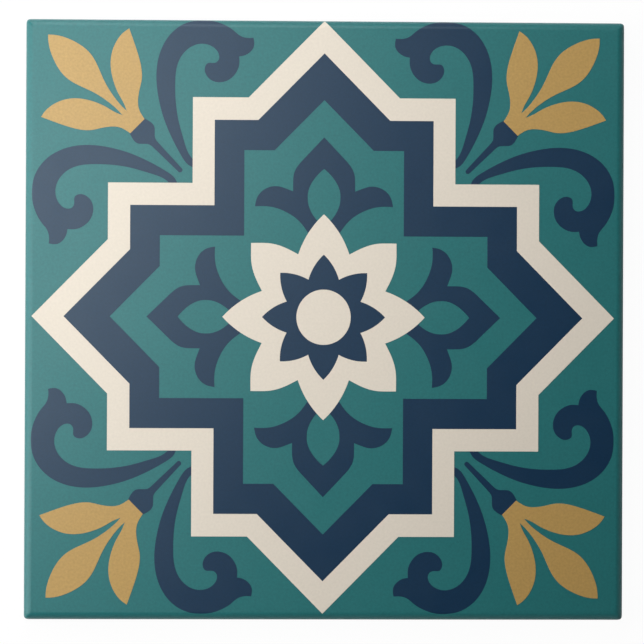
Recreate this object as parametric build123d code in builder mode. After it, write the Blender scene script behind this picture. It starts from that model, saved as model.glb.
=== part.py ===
# Glazed square wall tile with a cushioned edge and a keyed back, lying on its back.
# Millimetres. The origin is the middle of the back, +Z points out of the decorated face
# and +Y towards the top of the decoration.
from build123d import *
import os

# Body
tile_side = 108.0
tile_thickness = 6.5
cushion_radius = 1.5
corner_radius = 0.7
back_arris = 0.4

# Keyed back: square pockets that the adhesive bites into, with ribs between them
pocket_rows = 6
back_margin = 7.5
rib_width = 3.0
pocket_depth = 0.9
pocket_draft = 30.0
pocket_corner_radius = 1.2

pocket_side = (tile_side - 2 * back_margin - (pocket_rows - 1) * rib_width) / pocket_rows
pocket_pitch = pocket_side + rib_width

with BuildPart() as tile:
    # The pressed block, a plain square in plan
    with BuildSketch():
        Rectangle(tile_side, tile_side)
    extrude(amount=tile_thickness)

    # The cushion: a quarter round along each edge of the face, mitred at the corners
    face_edges = tile.faces().sort_by(Axis.Z)[-1].edges()
    fillet(face_edges, radius=cushion_radius)

    # The corners, down each side and along the mitre of the cushion
    side_corners = tile.edges().filter_by(Axis.Z)
    fillet(side_corners, radius=corner_radius)

    # The arris where the sides meet the back
    back_edges = tile.faces().sort_by(Axis.Z)[0].edges()
    chamfer(back_edges, length=back_arris)

    # The pockets, drafted so that the pressed tile leaves its die
    with BuildSketch():
        with GridLocations(pocket_pitch, pocket_pitch, pocket_rows, pocket_rows):
            RectangleRounded(pocket_side, pocket_side, pocket_corner_radius)
    extrude(amount=pocket_depth, taper=pocket_draft, mode=Mode.SUBTRACT)

tile.part.label = "tile"

os.makedirs("parts", exist_ok=True)
export_step(tile.part, "parts/tile.step")
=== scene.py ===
import math
import bpy
import numpy as np
from mathutils import Matrix, Vector
from mathutils.geometry import delaunay_2d_cdt


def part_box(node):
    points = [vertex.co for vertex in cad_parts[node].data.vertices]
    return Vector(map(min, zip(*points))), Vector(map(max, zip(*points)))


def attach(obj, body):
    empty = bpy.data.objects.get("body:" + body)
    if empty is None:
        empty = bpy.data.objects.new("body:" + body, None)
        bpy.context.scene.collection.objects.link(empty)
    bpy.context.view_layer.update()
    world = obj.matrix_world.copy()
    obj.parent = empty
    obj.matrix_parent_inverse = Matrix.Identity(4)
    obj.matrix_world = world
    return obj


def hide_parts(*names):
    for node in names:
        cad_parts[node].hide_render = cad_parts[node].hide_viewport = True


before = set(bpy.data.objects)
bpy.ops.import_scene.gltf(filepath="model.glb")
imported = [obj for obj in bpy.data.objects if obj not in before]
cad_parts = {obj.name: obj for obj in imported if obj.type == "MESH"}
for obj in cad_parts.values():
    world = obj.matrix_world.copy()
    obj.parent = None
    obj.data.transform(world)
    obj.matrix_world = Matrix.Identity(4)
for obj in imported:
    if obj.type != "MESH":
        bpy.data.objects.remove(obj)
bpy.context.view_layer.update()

mm = 0.001

# The body: a slab of pale clay, pressed in a die and fired hard, bare on its back and low on its
# sides. Its face is cushioned, dropping in a quarter round to each edge, and its back is keyed
# with square pockets, drafted so that the slab leaves the die, which the adhesive bites into.
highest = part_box("tile")[1]
half_side = highest.x
thickness = highest.z
cushion_radius = 1.5 * mm
corner_power = 4.7
core = half_side - cushion_radius
rim_steps = 9
body_face_depth = 0.30 * mm
body_side_depth = 0.22 * mm
arris_width = 0.18 * mm
arris_height = 0.40 * mm
pocket_rows = 6
back_margin = 7.5 * mm
rib_width = 3.0 * mm
pocket_depth = 0.9 * mm
pocket_slope = pocket_depth * math.tan(math.radians(30))
pocket_corner = 1.2 * mm
pocket_line_steps = (0, 0.13, 0.26, 0.39, 0.52, 0.75, 1.0, 1.3)
shoulder_drop = 0.6 * mm
pocket_side = (2 * half_side - 2 * back_margin - (pocket_rows - 1) * rib_width) / pocket_rows
pocket_pitch = pocket_side + rib_width
bisque_color = (0.62, 0.53, 0.43, 1)
bisque_grog_color = (0.40, 0.31, 0.23, 1)
bisque_dust_color = (0.74, 0.67, 0.58, 1)
# Painted shade: the clay is given a darker colour down in the back's pockets, at this share at their
# bottoms.
pocket_shade_color = (0.46, 0.36, 0.28, 1)
pocket_shade_share = 0.45
dust_per_metre = 70
dust_range = (0.4, 0.7)
grog_per_metre = 900
grog_edge = (0.22, 0.1)
grog_patches_per_metre = 420
grog_patch_range = (0.52, 0.66)
bisque_roughness = (0.82, 0.97)
bisque_specular = 0.25
pores_per_metre = 2600
pore_depth = 0.12 * mm
pore_strength = 0.5
body_crease = 35


def over_core(x, y):
    """How far each plan point hangs over the flat core, along x and along y, and their p-norm."""
    over = np.maximum(np.abs(np.stack([x, y])) - core, 0)
    return over, (over**corner_power).sum(0) ** (1 / corner_power)


def on_cushion(x, y, depth):
    """Points and normals of the cushioned surface that lies depth below the tile's outer skin.

    The height is that of the flat face inside the core. Outside it, it follows a quarter circle of the
    overhang's p-norm, whose radius is the cushion's less the depth. A point past the quarter circle's
    foot is pulled straight in to it. The normal is the gradient of that p-norm over the rise.
    """
    over, reach = over_core(x, y)
    radius = cushion_radius - depth
    pull = np.minimum(1, radius / np.maximum(reach, 1e-9))
    over, reach = over * pull, reach * pull
    rise = np.sqrt(np.maximum(radius**2 - reach**2, 0))
    sides = np.sign(np.stack([x, y]))
    slope = sides * reach * (over / np.maximum(reach, 1e-9)) ** (corner_power - 1)
    plan = np.clip([x, y], -core, core) + sides * over
    normal = np.stack([*slope, rise], axis=-1)
    normal /= np.linalg.norm(normal, axis=-1, keepdims=True)
    return np.stack([*plan, thickness - cushion_radius + rise], axis=-1), normal


def plan_grid(inner_lines, depth):
    """A square grid of plan points whose outermost lines follow the tile's rounded outline.

    The lines outside the core stand at even angles of the cushion's quarter circle. Each overhang is
    shrunk by the larger of its two parts over their p-norm, which carries squares onto rounded squares.
    """
    rim = core + (cushion_radius - depth) * np.sin(np.linspace(0, math.pi / 2, rim_steps + 1))
    lines = np.concatenate([-rim[::-1], inner_lines, rim])
    x, y = np.meshgrid(lines, lines, indexing="ij")
    over, reach = over_core(x, y)
    shrink = np.where(reach > 0, over.max(0) / np.maximum(reach, 1e-9), 1)
    return [np.clip(v, -core, core) + np.sign(v) * o * shrink for v, o in zip((x, y), over)]


def rim_order(count):
    """Indices of a square grid's outermost points, anticlockwise from its lowest corner."""
    index = np.arange(count * count).reshape(count, count)
    return np.concatenate([index[:-1, 0], index[-1, :-1], index[:0:-1, -1], index[0, :0:-1]])


def side_loop(inner_lines, depth, height):
    """The tile's rounded outline at that depth, as a loop of points at that height."""
    x, y = plan_grid(inner_lines, depth)
    order = rim_order(len(x))
    flat = np.stack([x.ravel()[order], y.ravel()[order]], axis=-1)
    return np.column_stack([flat, np.broadcast_to(height, len(flat))])


def band_quads(upper, lower):
    """Quads between two anticlockwise loops of indices, facing away from what the loops go round."""
    return np.stack([upper, lower, np.roll(lower, -1), np.roll(upper, -1)], axis=-1)


def closed_slab(top, loops, under):
    """Points and quads of a closed slab: a grid facing up, loops down its sides, a grid facing down."""
    count = len(top)
    index = np.arange(count * count).reshape(count, count)
    corners = [index[:-1, :-1], index[1:, :-1], index[1:, 1:], index[:-1, 1:]]
    quads = np.stack(corners, axis=-1).reshape(-1, 4)
    order = rim_order(count)
    rings = [order]
    rings += [count * count + k * len(order) + np.arange(len(order)) for k in range(len(loops))]
    first_under = count * count + len(loops) * len(order)
    rings.append(first_under + order)
    bands = [band_quads(upper, lower) for upper, lower in zip(rings[:-1], rings[1:])]
    points = np.concatenate([top.reshape(-1, 3), *loops, under.reshape(-1, 3)])
    return points, np.concatenate([quads, *bands, quads[:, ::-1] + first_under]).tolist()


def make_piece(name, points, faces, crease, first_normals=()):
    """A mesh object from points and faces, shaded smooth except over edges sharper than the crease.

    The corners of its first faces, in turn, take the normals that are given. A zero normal asks for
    the mesh's own.
    """
    mesh = bpy.data.meshes.new(name)
    mesh.from_pydata(points.tolist(), [], faces)
    mesh.shade_smooth()
    mesh.set_sharp_from_angle(angle=math.radians(crease))
    normals = np.zeros((len(mesh.loops), 3))
    normals[: len(first_normals)] = np.reshape(first_normals, (-1, 3))
    mesh.normals_split_custom_set(normals.tolist())
    piece = bpy.data.objects.new(name, mesh)
    bpy.context.scene.collection.objects.link(piece)
    return piece


def pocket_hollow(x, y):
    """Depth of the keyed back at x, y: a smooth step, over the draft, into each rounded square."""
    middle = (pocket_rows - 1) / 2
    nearest = [np.clip(np.round(v / pocket_pitch + middle), 0, pocket_rows - 1) for v in (x, y)]
    past = [
        np.abs(v - (n - middle) * pocket_pitch) - (pocket_side / 2 - pocket_corner)
        for v, n in zip((x, y), nearest)
    ]
    rounded = np.hypot(np.maximum(past[0], 0), np.maximum(past[1], 0))
    inside = pocket_corner - rounded - np.minimum(np.maximum(*past), 0)
    step = np.clip(inside / pocket_slope, 0, 1)
    return pocket_depth * step**2 * (3 - 2 * step)


def put(tree, kind, sockets=None, **settings):
    """Adds a node with these settings. A socket gets its value, or a link where that is an output."""
    node = tree.nodes.new(kind)
    for name, value in settings.items():
        setattr(node, name, value)
    for name, value in (sockets or {}).items():
        if isinstance(value, bpy.types.NodeSocket):
            tree.links.new(value, node.inputs[name])
        else:
            node.inputs[name].default_value = value
    return node


def noise(tree, place, per_metre, detail):
    """Noise from 0 to 1, with that many features to the metre and that many finer octaves."""
    sockets = {"Vector": place, "Scale": per_metre, "Detail": detail}
    return put(tree, "ShaderNodeTexNoise", sockets).outputs["Fac"]


def worked_out(tree, operation, *values):
    """The result of one step of arithmetic on values or outputs."""
    return put(tree, "ShaderNodeMath", dict(enumerate(values)), operation=operation).outputs[0]


def carried_over(tree, value, old, new):
    """A value carried evenly from its old range onto a new one, and held at that one's ends."""
    sockets = {"From Min": old[0], "From Max": old[1], "To Min": new[0], "To Max": new[1]}
    return put(tree, "ShaderNodeMapRange", {"Value": value, **sockets}).outputs[0]


def mixed(tree, share, first, second):
    """Two colours mixed: the first where the share is 0 and the second where it is 1."""
    return put(tree, "ShaderNodeMix", {0: share, 6: first, 7: second}, data_type="RGBA").outputs[2]


def new_material(name):
    """An empty node material, its tree and its Principled shader."""
    material = bpy.data.materials.new(name)
    material.use_nodes = True
    tree = material.node_tree
    tree.nodes.clear()
    shader = put(tree, "ShaderNodeBsdfPrincipled")
    put(tree, "ShaderNodeOutputMaterial", {"Surface": shader.outputs["BSDF"]})
    return material, tree, shader


def bisque():
    """Bare fired clay: chalky, with pale dusty patches, grains of grog, fine pores and shade painted into
    its pockets.

    How far a point lies down in a pocket is a mesh attribute, which sets how much shade is painted into
    the colour there.
    """
    material, tree, shader = new_material("bisque")
    place = put(tree, "ShaderNodeTexCoord").outputs["Object"]
    patches = noise(tree, place, dust_per_metre, 5)
    dusty = carried_over(tree, patches, dust_range, (0, 1))
    tone = mixed(tree, dusty, bisque_color, bisque_dust_color)
    # Painted shade: the colour darkens towards the bottom of each pocket.
    pocket_shade_mask = put(tree, "ShaderNodeAttribute", attribute_name="pocket_shade_mask").outputs["Fac"]
    base = mixed(tree, worked_out(tree, "MULTIPLY", pocket_shade_mask, pocket_shade_share), tone, pocket_shade_color)
    grains = put(tree, "ShaderNodeTexVoronoi", {"Vector": place, "Scale": grog_per_metre})
    grog = carried_over(tree, grains.outputs["Distance"], grog_edge, (0, 1))
    rare = carried_over(tree, noise(tree, place, grog_patches_per_metre, 1), grog_patch_range, (0, 1))
    color = mixed(tree, worked_out(tree, "MULTIPLY", grog, rare), base, bisque_grog_color)
    roughness = carried_over(tree, patches, (0, 1), bisque_roughness)
    pores = noise(tree, place, pores_per_metre, 4)
    sockets = {"Height": pores, "Strength": pore_strength, "Distance": pore_depth}
    bump = put(tree, "ShaderNodeBump", sockets).outputs[0]
    tree.links.new(color, shader.inputs["Base Color"])
    tree.links.new(roughness, shader.inputs["Roughness"])
    tree.links.new(bump, shader.inputs["Normal"])
    shader.inputs["Specular IOR Level"].default_value = bisque_specular
    return material


pocket_centres = (np.arange(pocket_rows) - (pocket_rows - 1) / 2) * pocket_pitch
pocket_lines = pocket_side / 2 - np.array(pocket_line_steps) * mm
back_lines = np.sort(np.add.outer(pocket_centres, np.concatenate([-pocket_lines, pocket_lines])).ravel())
back_x, back_y = plan_grid(back_lines, body_side_depth + arris_width)
back_hollow = pocket_hollow(back_x, back_y)
body_points, body_faces = closed_slab(
    on_cushion(*plan_grid(back_lines, body_face_depth), body_face_depth)[0],
    [
        side_loop(back_lines, body_side_depth, thickness - cushion_radius - shoulder_drop),
        side_loop(back_lines, body_side_depth, arris_height),
    ],
    np.stack([back_x, back_y, back_hollow], axis=-1),
)
body = make_piece("clay_body", body_points, body_faces, body_crease)
# How far down in a pocket each point lies, as a mesh attribute: the mask of the shade painted into the
# pockets.
pocket_shade_mask = np.concatenate([np.zeros(len(body_points) - back_x.size), back_hollow.ravel() / pocket_depth])
body.data.attributes.new("pocket_shade_mask", "FLOAT", "POINT").data.foreach_set("value", pocket_shade_mask)
body.data.materials.append(bisque())
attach(body, "root")
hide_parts("tile")

# The ground glaze: teal, poured over the face and run down the sides, where it gathers in a soft
# bead above bare clay. It is fired on as a satin glass, faintly mottled, with a slight ripple.
# The inks are fired onto it later, so it stands lower than the outer skin by their two layers.
ink_layer = 0.02 * mm
ink_layers = 2
glaze_depth = ink_layers * ink_layer
glaze_line_count = 62
glaze_lines = np.linspace(-core, core, glaze_line_count)[1:-1]
bead_height = 1.35 * mm
run_waves = ((5, 0.13 * mm, 0.7), (11, 0.09 * mm, 2.1), (23, 0.05 * mm, 4.0))
glaze_inside = 0.05 * mm
satin_roughness = 0.40
satin_drift = 0.04
clouds_per_metre = 85
specks_per_metre = 2300
satin_patches_per_metre = 260
ripples_per_metre = 330
ripple_depth = 0.02 * mm
ripple_strength = 0.4
glaze_crease = 60
glass_ior = 1.5
sheen_tint = (0.92, 1, 1, 1)
teal = (0.0139, 0.1360, 0.1395, 1)


def glaze_effect():
    """The shader group of every fired colour: mottle and specks in its tone, an uneven satin, a ripple.

    The tone is 1 plus each noise, centred on 0, times its amount. The roughness drifts by its own
    noise, a little to both sides of the satin's.
    """
    group = bpy.data.node_groups.new("fired_glaze", "ShaderNodeTree")
    for name, kind in (
        ("Color", "NodeSocketColor"),
        ("Mottle", "NodeSocketFloat"),
        ("Specks", "NodeSocketFloat"),
        ("Satin", "NodeSocketFloat"),
    ):
        group.interface.new_socket(name, in_out="INPUT", socket_type=kind)
    for name, kind in (
        ("Color", "NodeSocketColor"),
        ("Roughness", "NodeSocketFloat"),
        ("Normal", "NodeSocketVector"),
    ):
        group.interface.new_socket(name, in_out="OUTPUT", socket_type=kind)
    given = put(group, "NodeGroupInput").outputs
    place = put(group, "ShaderNodeTexCoord").outputs["Object"]
    clouds = noise(group, place, clouds_per_metre, 3)
    specks = noise(group, place, specks_per_metre, 2)
    tone = 1
    for value, amount in ((clouds, given["Mottle"]), (specks, given["Specks"])):
        centred = worked_out(group, "SUBTRACT", value, 0.5)
        tone = worked_out(group, "MULTIPLY_ADD", centred, amount, tone)
    color = put(group, "ShaderNodeVectorMath", {0: given["Color"], "Scale": tone}, operation="SCALE")
    uneven = noise(group, place, satin_patches_per_metre, 3)
    drift = carried_over(group, uneven, (0, 1), (-satin_drift, satin_drift))
    satin = worked_out(group, "ADD", given["Satin"], drift)
    waves = noise(group, place, ripples_per_metre, 1)
    sockets = {"Height": waves, "Strength": ripple_strength, "Distance": ripple_depth}
    bump = put(group, "ShaderNodeBump", sockets)
    results = {"Color": color.outputs[0], "Roughness": satin, "Normal": bump.outputs[0]}
    put(group, "NodeGroupOutput", results)
    return group


fired_glaze = glaze_effect()


def fired_color(name, color, mottle, specks, roughness=satin_roughness):
    """A glaze or ink of one colour, with that much mottle and specks, fired to a satin."""
    material, tree, shader = new_material(name)
    effect = put(tree, "ShaderNodeGroup", node_tree=fired_glaze)
    given = {"Color": color, "Mottle": mottle, "Specks": specks, "Satin": roughness}
    for socket, value in given.items():
        effect.inputs[socket].default_value = value
    for result, socket in (("Color", "Base Color"), ("Roughness", "Roughness"), ("Normal", "Normal")):
        tree.links.new(effect.outputs[result], shader.inputs[socket])
    shader.inputs["IOR"].default_value = glass_ior
    shader.inputs["Specular Tint"].default_value = sheen_tint
    return material


def glaze_loops():
    """Loops down the glaze's outside, round its bead and back up inside the clay.

    The bead's height is a mean with three sine waves that close round the tile, and the loops above
    it take part in the waves less and less. Each loop is its depth below the outer skin, its height
    and its share of the waves.
    """
    plan = side_loop(glaze_lines, glaze_depth, 0)
    step = np.hypot(*np.diff(np.vstack([plan, plan[:1]])[:, :2], axis=0).T)
    turn = 2 * math.pi * np.cumsum(step) / step.sum()
    wave = sum(size * np.sin(count * turn + start) for count, size, start in run_waves)
    foot = thickness - cushion_radius
    sides = (
        (0.02 * mm, foot - 0.3 * mm, 0.0),
        (0.00 * mm, foot - 0.7 * mm, 0.0),
        (0.01 * mm, bead_height + 1.1 * mm, 0.5),
        (0.00 * mm, bead_height + 0.5 * mm, 0.9),
        (0.03 * mm, bead_height + 0.2 * mm, 1.0),
        (0.10 * mm, bead_height + 0.05 * mm, 1.0),
        (0.19 * mm, bead_height, 1.0),
        (body_side_depth + glaze_inside, bead_height + 0.1 * mm, 1.0),
        (body_side_depth + glaze_inside, foot - 0.7 * mm, 0.0),
    )
    return [side_loop(glaze_lines, depth, height + share * wave) for depth, height, share in sides]


teal_glaze = fired_color("teal_glaze", teal, mottle=0.04, specks=0.40)
inner_depth = body_face_depth + glaze_inside
coat_top, coat_normals = on_cushion(*plan_grid(glaze_lines, glaze_depth), glaze_depth)
coat_points, coat_faces = closed_slab(
    coat_top,
    glaze_loops(),
    on_cushion(*plan_grid(glaze_lines, inner_depth), inner_depth)[0],
)
face_corners = np.ravel(coat_faces[: (len(coat_top) - 1) ** 2])
face_normals = coat_normals.reshape(-1, 3)[face_corners]
coat = make_piece("ground_glaze", coat_points, coat_faces, glaze_crease, face_normals)
coat.data.materials.append(teal_glaze)
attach(coat, "root")
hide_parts("tile")

# The palmettes: four navy buds behind the rosette, each with two leaves and a pointed eye that
# the teal ground fills. Navy is the first ink, printed on the raw glaze and fired into it.
# Outlines are in millimetres from the middle of the print, which sits a little off the tile's.
print_middle = (-0.308 * mm, 0.527 * mm)
print_size = (0.998, 1.015)
outline_step = 0.25
ink_edge = 0.01 * mm
ink_root = glaze_depth + 0.03 * mm
ink_crease = 0
bend_step = 0.2 * mm
navy = (0.0009, 0.0226, 0.0600, 1)
navy_layer = 1


def drawn_curve(points):
    """Even steps along a natural cubic spline through the points, by chord length, but for its last."""
    points = np.array(points, float)
    chord = np.hypot(*np.diff(points, axis=0).T)
    knot = np.concatenate([[0], np.cumsum(chord)])
    inner = np.arange(1, len(points) - 1)
    system = np.eye(len(points))
    system[inner, inner - 1] = chord[:-1]
    system[inner, inner] = 2 * (chord[:-1] + chord[1:])
    system[inner, inner + 1] = chord[1:]
    change = np.zeros_like(points)
    change[1:-1] = 6 * np.diff(np.diff(points, axis=0) / chord[:, None], axis=0)
    bend = np.linalg.solve(system, change)
    place = np.linspace(0, knot[-1], max(2, math.ceil(knot[-1] / outline_step)) + 1)[:-1]
    span = np.clip(np.searchsorted(knot, place, side="right") - 1, 0, len(chord) - 1)
    length = chord[span][:, None]
    ahead = (knot[span + 1] - place)[:, None]
    behind = (place - knot[span])[:, None]
    cubic = (bend[span] * ahead**3 + bend[span + 1] * behind**3) / (6 * length)
    start = (points[span] / length - bend[span] * length / 6) * ahead
    end = (points[span + 1] / length - bend[span + 1] * length / 6) * behind
    return cubic + start + end


def drawn_outline(*runs):
    """A closed outline of drawn curves that meet in corners, each run starting where the last ends."""
    return np.vstack([drawn_curve(run) for run in runs])


def with_mirror_half(half):
    """An outline from its half on the side of negative x, which starts and ends on the line x = 0."""
    other = half[::-1] * (-1, 1)
    return np.vstack([half, other[np.abs(other[:, 0]) > 1e-6]])


def quarter_turned(outline, turns):
    """An outline turned anticlockwise about the middle of the print by that many right angles."""
    angle = turns * math.pi / 2
    turn = np.array([[math.cos(angle), math.sin(angle)], [-math.sin(angle), math.cos(angle)]])
    return outline @ turn


def signed_area(loop):
    """Twice a loop's area, positive where it runs anticlockwise."""
    ahead = np.roll(loop, -1, axis=0)
    return (loop[:, 0] * ahead[:, 1] - loop[:, 1] * ahead[:, 0]).sum()


def moved_in(loop, distance):
    """A loop moved to its left by a distance: each point goes along the mitre of its two sides.

    The mitre is the sum of the two unit normals, and the step is twice the distance times the mitre
    over its squared length, or over 1 at a sharp point.
    """
    side = np.roll(loop, -1, axis=0) - loop
    side /= np.hypot(*side.T)[:, None]
    left = np.stack([-side[:, 1], side[:, 0]], axis=-1)
    mitre = left + np.roll(left, 1, axis=0)
    length = (mitre**2).sum(1)[:, None]
    return loop + 2 * distance * mitre / np.maximum(length, 1)


def inside_loops(points, loops):
    """Whether each point is inside the loops, by whether it sees an odd number of sides to its right."""
    start = np.vstack(loops)
    end = np.vstack([np.roll(loop, -1, axis=0) for loop in loops])
    x, y = points[:, :1], points[:, 1:]
    spans = (start[:, 1] > y) != (end[:, 1] > y)
    rise = np.where(end[:, 1] == start[:, 1], 1, end[:, 1] - start[:, 1])
    crossing = start[:, 0] + (y - start[:, 1]) * (end[:, 0] - start[:, 0]) / rise
    return (spans & (x < crossing)).sum(1) % 2 == 1


def bend_points(loops):
    """Points on a fine grid inside the loops where the face bends down into the cushion."""
    low = np.min([loop.min(0) for loop in loops], axis=0)
    high = np.max([loop.max(0) for loop in loops], axis=0)
    lines = [np.arange(a, b, bend_step) for a, b in zip(low, high)]
    grid = np.stack(np.meshgrid(*lines, indexing="ij"), axis=-1).reshape(-1, 2)
    grid = grid[np.abs(grid).max(1) > core - bend_step]
    if not len(grid):
        return grid
    grid = grid[inside_loops(grid, loops)]
    rim = np.vstack(loops)
    rim = rim[np.abs(rim).max(1) > core - 3 * bend_step]
    away = np.hypot(grid[:, :1] - rim[:, 0], grid[:, 1:] - rim[:, 1]).min(1)
    return grid[away > bend_step / 2]


def lay_ink(name, loops, layer, ink):
    """One printed shape as a closed film: its top on a layer of the cushioned face, its root in glaze.

    The loops, in millimetres, are stretched to the print's size and moved to its middle. The film's
    rim is the outline carried up from the root to just under the layer, then in and up by the ink's
    small edge. Its top and its underside share one triangulation of the outline.
    """
    plan = [np.array(print_middle) + loop * mm * print_size for loop in loops]
    plan = [loop if (signed_area(loop) > 0) == (k == 0) else loop[::-1] for k, loop in enumerate(plan)]
    rim = np.vstack(plan)
    bends = bend_points(plan)
    flat = np.vstack([*[moved_in(loop, ink_edge) for loop in plan], bends])
    starts = np.cumsum([0] + [len(loop) for loop in plan])
    rings = [np.arange(a, b) for a, b in zip(starts[:-1], starts[1:])]
    sides = np.vstack([np.stack([ring, np.roll(ring, -1)], axis=-1) for ring in rings])
    web = delaunay_2d_cdt([Vector(p) for p in (flat / mm).tolist()], sides.tolist(), [], 0, 1e-7)
    given = np.array([origin[0] for origin in web[3]])
    triangles = given[np.array(web[2])]
    triangles = triangles[inside_loops(flat[triangles].mean(1), [flat[ring] for ring in rings])]
    depth = (ink_layers - layer) * ink_layer
    top, normals = on_cushion(*flat.T, depth)
    shoulder = on_cushion(*rim.T, depth + ink_edge)[0]
    root = on_cushion(*np.vstack([rim, bends]).T, ink_root)[0]
    first_shoulder = len(top)
    first_root = len(top) + len(shoulder)
    bands = []
    for ring in rings:
        bands.append(band_quads(ring, first_shoulder + ring))
        bands.append(band_quads(first_shoulder + ring, first_root + ring))
    faces = triangles.tolist() + np.vstack(bands).tolist() + (triangles[:, ::-1] + first_root).tolist()
    points = np.vstack([top, shoulder, root])
    piece = make_piece(name, points, faces, ink_crease, normals[triangles.ravel()])
    piece.data.materials.append(ink)
    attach(piece, "root")
    return piece


navy_ink = fired_color("navy_glaze", navy, mottle=0.05, specks=0.40)
bud_point = [(0, 31.9), (-4.15, 27.55)]
bud_shoulder = [(-4.15, 27.55), (-4.8, 26.75), (-5.3, 25.85), (-5.55, 24.8), (-5.6, 23.6), (-5.6, 22.3)]
leaf_back = [
    (-5.6, 22.3), (-6.9, 22.8), (-8.4, 23.2), (-9.8, 23.05), (-11.2, 22.3), (-12.1, 21.1), (-12.45, 19.6),
]
leaf_front = [
    (-12.45, 19.6), (-10.9, 19.65), (-9.1, 19.45), (-7.2, 18.8), (-5.5, 17.85), (-4, 16.5), (-2.9, 15),
]
bud_foot = [(-2.9, 15), (0, 15)]
bud_half = np.vstack([drawn_outline(bud_point, bud_shoulder, leaf_back, leaf_front, bud_foot), (0, 15)])
eye_side = [
    (0, 26.3), (-0.8, 25.6), (-1.5, 24.85), (-2.1, 24.05), (-2.6, 23.1), (-2.9, 22.1), (-2.95, 21.1),
    (-2.85, 20.1), (-2.5, 19.05), (-1.95, 18.05), (-1.2, 17.1), (0, 15.9),
]
eye_half = np.vstack([drawn_curve(eye_side), eye_side[-1]])
for turns in range(4):
    palmette = [quarter_turned(with_mirror_half(half), turns) for half in (bud_half, eye_half)]
    lay_ink(f"palmette_{turns + 1}", palmette, navy_layer, navy_ink)

# The scrolls: eight navy tendrils, two in each corner, that spring from behind the cream band and
# curl back to a ball with a small fin. Their widest curve runs over the cushion at the tile's edge.
# Same ink and printing as the palmettes. One is drawn, and the rest are its turns and mirrors.
scroll_back = [
    (49.5, 12.85), (49.45, 13.9), (49.85, 15.3), (50.8, 16.5), (51.75, 18.1), (52.4, 20.0), (52.55, 22.1),
    (52.25, 24.35), (51.35, 26.25), (49.95, 27.85), (47.65, 29.3), (45.0, 30.1), (42.2, 30.3),
    (39.0, 29.95), (35.3, 29.0), (31.5, 27.4), (28.4, 25.7), (26.9, 24.5), (26.3, 23.2),
]
scroll_foot = [(26.3, 23.2), (27.5, 23.2)]
scroll_curl = [
    (27.5, 23.2), (28.4, 24.1), (31.2, 25.3), (34.6, 26.25), (38.1, 26.8), (41.5, 26.9), (44.3, 26.6),
    (46.3, 25.7), (47.7, 24.25), (48.35, 22.3), (47.9, 20.3), (46.7, 19.15), (45.55, 19.1), (45.0, 19.75),
    (44.9, 21.1), (44.0, 21.6), (42.8, 21.3), (41.8, 20.2), (41.55, 18.8), (42.1, 17.1), (43.3, 15.95),
    (44.7, 15.4), (46.15, 15.4),
]
scroll_fin = [(46.15, 15.4), (46.3, 14.6), (46.9, 13.5), (48.0, 12.75), (49.5, 12.85)]
scroll = drawn_outline(scroll_back, scroll_foot, scroll_curl, scroll_fin)
for turns in range(4):
    for hand, outline in (("left", scroll), ("right", scroll * (1, -1))):
        turned_scroll = [quarter_turned(outline, turns)]
        lay_ink(f"scroll_{hand}_{turns + 1}", turned_scroll, navy_layer, navy_ink)

# The lilies: one in each corner, three gold petals out of a navy calyx on a tapering stem that
# points at the middle. The calyx is printed with the navy, and the gold over its rim. The left half
# is drawn upright, above the middle of the print, and then turned into the corner.
gold = (0.420, 0.263, 0.082, 1)
gold_layer = 2
calyx_rim = [(0, 47.9), (-1.8, 47.9)]
calyx_cup = [
    (-1.8, 47.9), (-2.15, 46.8), (-2.25, 46.1), (-2.1, 45.4), (-1.7, 44.9), (-1.2, 44.4), (-0.8, 43.9),
    (-0.63, 43.2),
]
stem = [(-0.63, 43.2), (-0.42, 36.6)]
stem_end = [(-0.42, 36.6), (-0.25, 36.35), (0, 36.3)]
middle_petal = [
    (0, 70.4), (-0.9, 69.4), (-2.1, 67.3), (-2.85, 65.0), (-3.05, 63.2), (-2.8, 61.4), (-2.0, 59.1),
    (-1.2, 56.8), (-0.7, 54.4), (-0.5, 52.0), (-0.55, 50.9),
]
side_petal_inside = [
    (-0.55, 50.9), (-1.22, 52.55), (-1.53, 53.75), (-2.4, 56.0), (-3.7, 58.1), (-5.45, 59.8),
    (-7.6, 60.85), (-10.0, 61.15), (-11.15, 60.95),
]
side_petal_outside = [
    (-11.15, 60.95), (-10.05, 58.6), (-8.95, 56.4), (-7.65, 54.3), (-6.3, 52.9), (-4.9, 52.0),
    (-3.9, 51.3), (-3.0, 50.5), (-2.3, 49.5), (-1.95, 48.4), (-1.8, 47.62),
]
collar = [(-1.8, 47.62), (0, 47.62)]
gold_ink = fired_color("gold_glaze", gold, mottle=0.05, specks=0.40)
calyx_half = np.vstack([drawn_outline(calyx_rim, calyx_cup, stem, stem_end), stem_end[-1]])
flower_runs = (middle_petal, side_petal_inside, side_petal_outside, collar)
flower_half = np.vstack([drawn_outline(*flower_runs), collar[-1]])
calyx = quarter_turned(with_mirror_half(calyx_half), -0.5)
flower = quarter_turned(with_mirror_half(flower_half), -0.5)
for turns in range(4):
    turned_calyx, turned_flower = [[quarter_turned(part, turns)] for part in (calyx, flower)]
    lay_ink(f"lily_stem_{turns + 1}", turned_calyx, navy_layer, navy_ink)
    lay_ink(f"lily_flower_{turns + 1}", turned_flower, gold_layer, gold_ink)

# The star: a cream band round a navy one, both eight-pointed, with stepped corners. The cream is
# the second ink, more opaque and duller than the rest. It covers the tendrils' feet and the navy
# band's outer edge, and its points run out over the cushion almost to the tile's edge.
cream = (0.660, 0.595, 0.505, 1)
cream_roughness = 0.60
cream_layer = 2
cream_star = (52.55, 38.9, 23.7)
navy_star = (46.8, 34.9, 19.75)
field_star = (38.5, 29.55, 14.4)
star_overlap = 0.5


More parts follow.
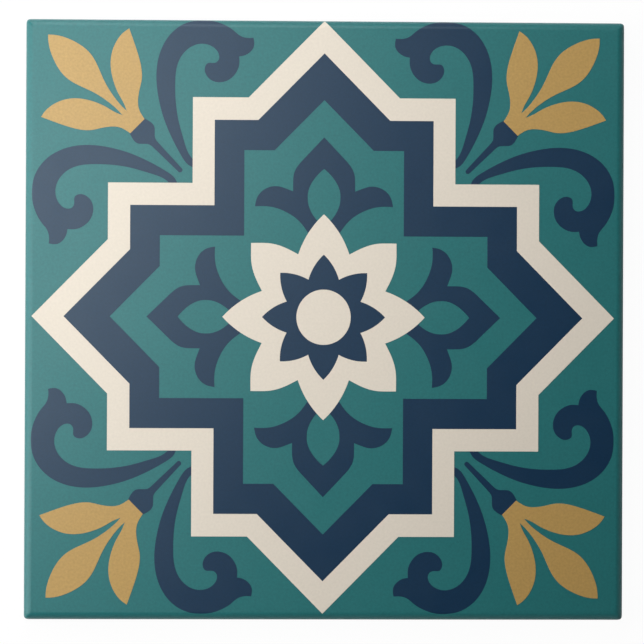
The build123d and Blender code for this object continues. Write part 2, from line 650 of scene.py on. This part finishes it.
def star(tip, step, notch):
    """A square with stepped corners and a right-angled point out of each side, which reaches to tip.

    Its steps stand at step and notch from the middle, so a quarter is the point, the foot of its slope,
    the outer corner, the inner corner and the same again, and the rest are its turns.
    """
    slope = [(0, tip), (step - tip, step)]
    corner = [(-notch, step), (-notch, notch), (-step, notch), (-step, tip - step)]
    corners = np.vstack([quarter_turned(np.array(slope + corner), turns) for turns in range(4)])
    ends = np.roll(corners, -1, axis=0)
    return np.vstack([drawn_curve([a, b]) for a, b in zip(corners, ends)])


cream_ink = fired_color("cream_glaze", cream, mottle=0.02, specks=0.14, roughness=cream_roughness)
tip, step, notch = navy_star
under_cream = star(tip + star_overlap * math.sqrt(2), step + star_overlap, notch + star_overlap)
navy_band = [under_cream, star(*field_star)]
cream_band = [star(*cream_star), star(*navy_star)]
lay_ink("star_navy_band", navy_band, navy_layer, navy_ink)
lay_ink("star_cream_band", cream_band, cream_layer, cream_ink)

# The rosette: a cream flower of eight pointed petals that leaves a smaller flower free, where the
# navy printed under it shows, and a cream disc in the middle of that. The cream petals between the
# axes are fuller than the others, whose sides are arcs. Sides run from tip to valley.
cream_petal_tip = 18.25
cream_petal_bulge = 0.55
cream_petal_valley = 12.05
full_petal_side = [(18.55, 0), (17.27, 1.3), (16.06, 2.4), (14.8, 3.22), (13.4, 3.86), (11.13, 4.61)]
navy_petal_tip = 11.1
navy_petal_bulge = 0.36
navy_petal_valley = 7.2
navy_spot_radius = 11.6
disc_radius = 4.9


def valley_point(radius):
    """The point where two petals meet, seen along a petal: half an eighth of a turn off its axis."""
    return radius * np.array([math.cos(math.pi / 8), math.sin(math.pi / 8)])


def arc(start, end, bulge):
    """Even steps along the arc of a circle that stands off its chord by bulge, but for its last.

    The arc lies to the right of the way from start to end. Its angle is four times that whose
    tangent is the bulge over half the chord.
    """
    half = np.hypot(*(end - start)) / 2
    angle = 2 * math.atan(bulge / half)
    radius = half / math.sin(angle)
    sweep = angle * np.linspace(-1, 1, max(2, math.ceil(2 * half / outline_step)) + 1)[:-1, None]
    way = (end - start) / (2 * half)
    right = np.array([way[1], -way[0]])
    along = radius * np.sin(sweep) * way
    return (start + end) / 2 + along + radius * (np.cos(sweep) - math.cos(angle)) * right


def petals(side_on_axis, side_between, valley):
    """Eight petals round the middle, each its side's mirror image up to the tip, then its side."""
    outline = []
    for k in range(8):
        side = side_between if k % 2 else side_on_axis
        petal = np.vstack([valley_point(valley) * (1, -1), side[:0:-1] * (1, -1), side])
        outline.append(quarter_turned(petal, k / 2))
    return np.vstack(outline)


def circle(radius):
    """An anticlockwise circle in even steps."""
    around = np.linspace(0, 2 * math.pi, math.ceil(2 * math.pi * radius / outline_step), endpoint=False)
    return radius * np.stack([np.cos(around), np.sin(around)], axis=-1)


cream_side = arc(np.array([cream_petal_tip, 0]), valley_point(cream_petal_valley), cream_petal_bulge)
navy_side = arc(np.array([navy_petal_tip, 0]), valley_point(navy_petal_valley), navy_petal_bulge)
cream_petals = petals(cream_side, drawn_curve(full_petal_side), cream_petal_valley)
navy_petals = petals(navy_side, navy_side, navy_petal_valley)
lay_ink("rosette_navy_spot", [circle(navy_spot_radius)], navy_layer, navy_ink)
lay_ink("rosette_cream_petals", [cream_petals, navy_petals], cream_layer, cream_ink)
lay_ink("rosette_disc", [circle(disc_radius)], cream_layer, cream_ink)

# The stage: white paper that the tile lies on, open under the tile so that its back can be seen and
# lit from below. It shows as plain white with the tile's faint shadow on it, and from below not at
# all. It isn't part of the object.
paper_reach = 4.0
paper_overlap = body_side_depth + arris_width
paper_gap = 0.02 * mm
paper_glow = 0.96
paper_color = (0.95, 0.95, 0.95, 1)
paper_roughness = 0.9
paper_crease = 60


def white_paper():
    """White paper that is mostly its own light to the camera, so that the shadow on it stays faint."""
    material, tree, shader = new_material("white_paper")
    shader.inputs["Base Color"].default_value = paper_color
    shader.inputs["Roughness"].default_value = paper_roughness
    shader.inputs["Specular IOR Level"].default_value = 0
    seen = put(tree, "ShaderNodeLightPath").outputs["Is Camera Ray"]
    share = worked_out(tree, "MULTIPLY", seen, paper_glow)
    white = put(tree, "ShaderNodeEmission", {"Color": (1, 1, 1, 1), "Strength": 1}).outputs[0]
    upper = put(tree, "ShaderNodeMixShader", {0: share, 1: shader.outputs[0], 2: white}).outputs[0]
    below = put(tree, "ShaderNodeNewGeometry").outputs["Backfacing"]
    clear = put(tree, "ShaderNodeBsdfTransparent").outputs[0]
    sheet = put(tree, "ShaderNodeMixShader", {0: below, 1: upper, 2: clear}).outputs[0]
    tree.links.new(sheet, tree.nodes["Material Output"].inputs["Surface"])
    return material


square = np.array([(-1, -1), (1, -1), (1, 1), (-1, 1)])
paper_plan = np.vstack([square * paper_reach, square * (half_side - paper_overlap)])
paper_points = np.column_stack([paper_plan, np.full(8, -paper_gap)])
paper_faces = band_quads(np.arange(4, 8), np.arange(4))
paper = make_piece("white_paper", paper_points, paper_faces.tolist(), paper_crease)
paper.data.materials.append(white_paper())

# The light: a soft lamp close above the tile's upper left, which lays its sheen on that side of the
# face and falls off across it, and three more, left of the tile and above it, which the rounded
# edges there mirror. The room is dark overhead, dim low down and lighter below the tile.
room_levels = ((-0.02, 0.66), (0, 0.36), (0.50, 0.36), (0.80, 0))


def soft_lamp(name, place, aim, size, power):
    """A rectangle of light at a place, turned to face its aim, which the camera doesn't see.

    Its size is its width and height, and its power is in watts.
    """
    data = bpy.data.lights.new(name, "AREA")
    data.shape = "RECTANGLE"
    data.size, data.size_y = size
    data.energy = power
    lamp = bpy.data.objects.new(name, data)
    lamp.location = place
    lamp.rotation_euler = (Vector(aim) - Vector(place)).to_track_quat("-Z", "Y").to_euler()
    lamp.visible_camera = False
    bpy.context.scene.collection.objects.link(lamp)


def dim_room():
    """A room that the camera sees as white, whose light depends on how far up a ray looks.

    The levels are pairs of the ray's upward part and the light there, joined by straight lines.
    """
    room = bpy.data.worlds.new("room")
    room.use_nodes = True
    tree = room.node_tree
    way = put(tree, "ShaderNodeTexCoord").outputs["Generated"]
    up = put(tree, "ShaderNodeSeparateXYZ", {0: way}).outputs["Z"]
    level = room_levels[0][1]
    for (low, start), (high, end) in zip(room_levels[:-1], room_levels[1:]):
        change = carried_over(tree, up, (low, high), (0, end - start))
        level = worked_out(tree, "ADD", change, level)
    seen = put(tree, "ShaderNodeLightPath").outputs["Is Camera Ray"]
    shown = put(tree, "ShaderNodeMix", {0: seen, 2: level, 3: 1.0}).outputs[0]
    tree.links.new(shown, tree.nodes["Background"].inputs["Strength"])
    tree.nodes["Background"].inputs["Color"].default_value = (1, 1, 1, 1)
    return room


soft_lamp("sheen_lamp", (-0.103, 0.039, 0.235), aim=(-0.18, 0.096, 0), size=(0.167, 0.167), power=0.352)
soft_lamp("left_strip", (-0.24, -0.01, 0.144), aim=(0, 0, 0), size=(0.20, 0.30), power=0.57)
soft_lamp("upper_strip", (-0.075, 0.23, 0.14), aim=(-0.03, 0, 0), size=(0.08, 0.22), power=0.30)
soft_lamp("upper_spot", (-0.005, 0.17, 0.22), aim=(0, 0, 0), size=(0.06, 0.10), power=0.11)
bpy.context.scene.world = dim_room()

# The camera: a long lens straight above the tile, leaning a little from its left and turned
# a quarter of a degree, as the photograph is.
lens = 180
film_width = 36
camera_distance = 585.9 * mm
lean_across = math.radians(1.94)
lean_along = math.radians(-0.217)
turned = math.radians(-0.250)
off_middle = Vector((0.37 * mm, 0.30 * mm, 0))

camera_data = bpy.data.cameras.new("camera")
camera_data.lens = lens
camera_data.sensor_width = film_width
camera = bpy.data.objects.new("camera", camera_data)
bpy.context.scene.collection.objects.link(camera)
lean = Matrix.Rotation(lean_across, 3, "Y") @ Matrix.Rotation(lean_along, 3, "X")
view = (Matrix.Rotation(turned, 3, "Z") @ lean).transposed()
place = view @ (Vector((0, 0, camera_distance)) - off_middle)
camera.matrix_world = Matrix.Translation(place) @ view.to_4x4()
bpy.context.scene.camera = camera
bpy.context.scene.view_settings.view_transform = "Standard"

bpy.context.view_layer.update()
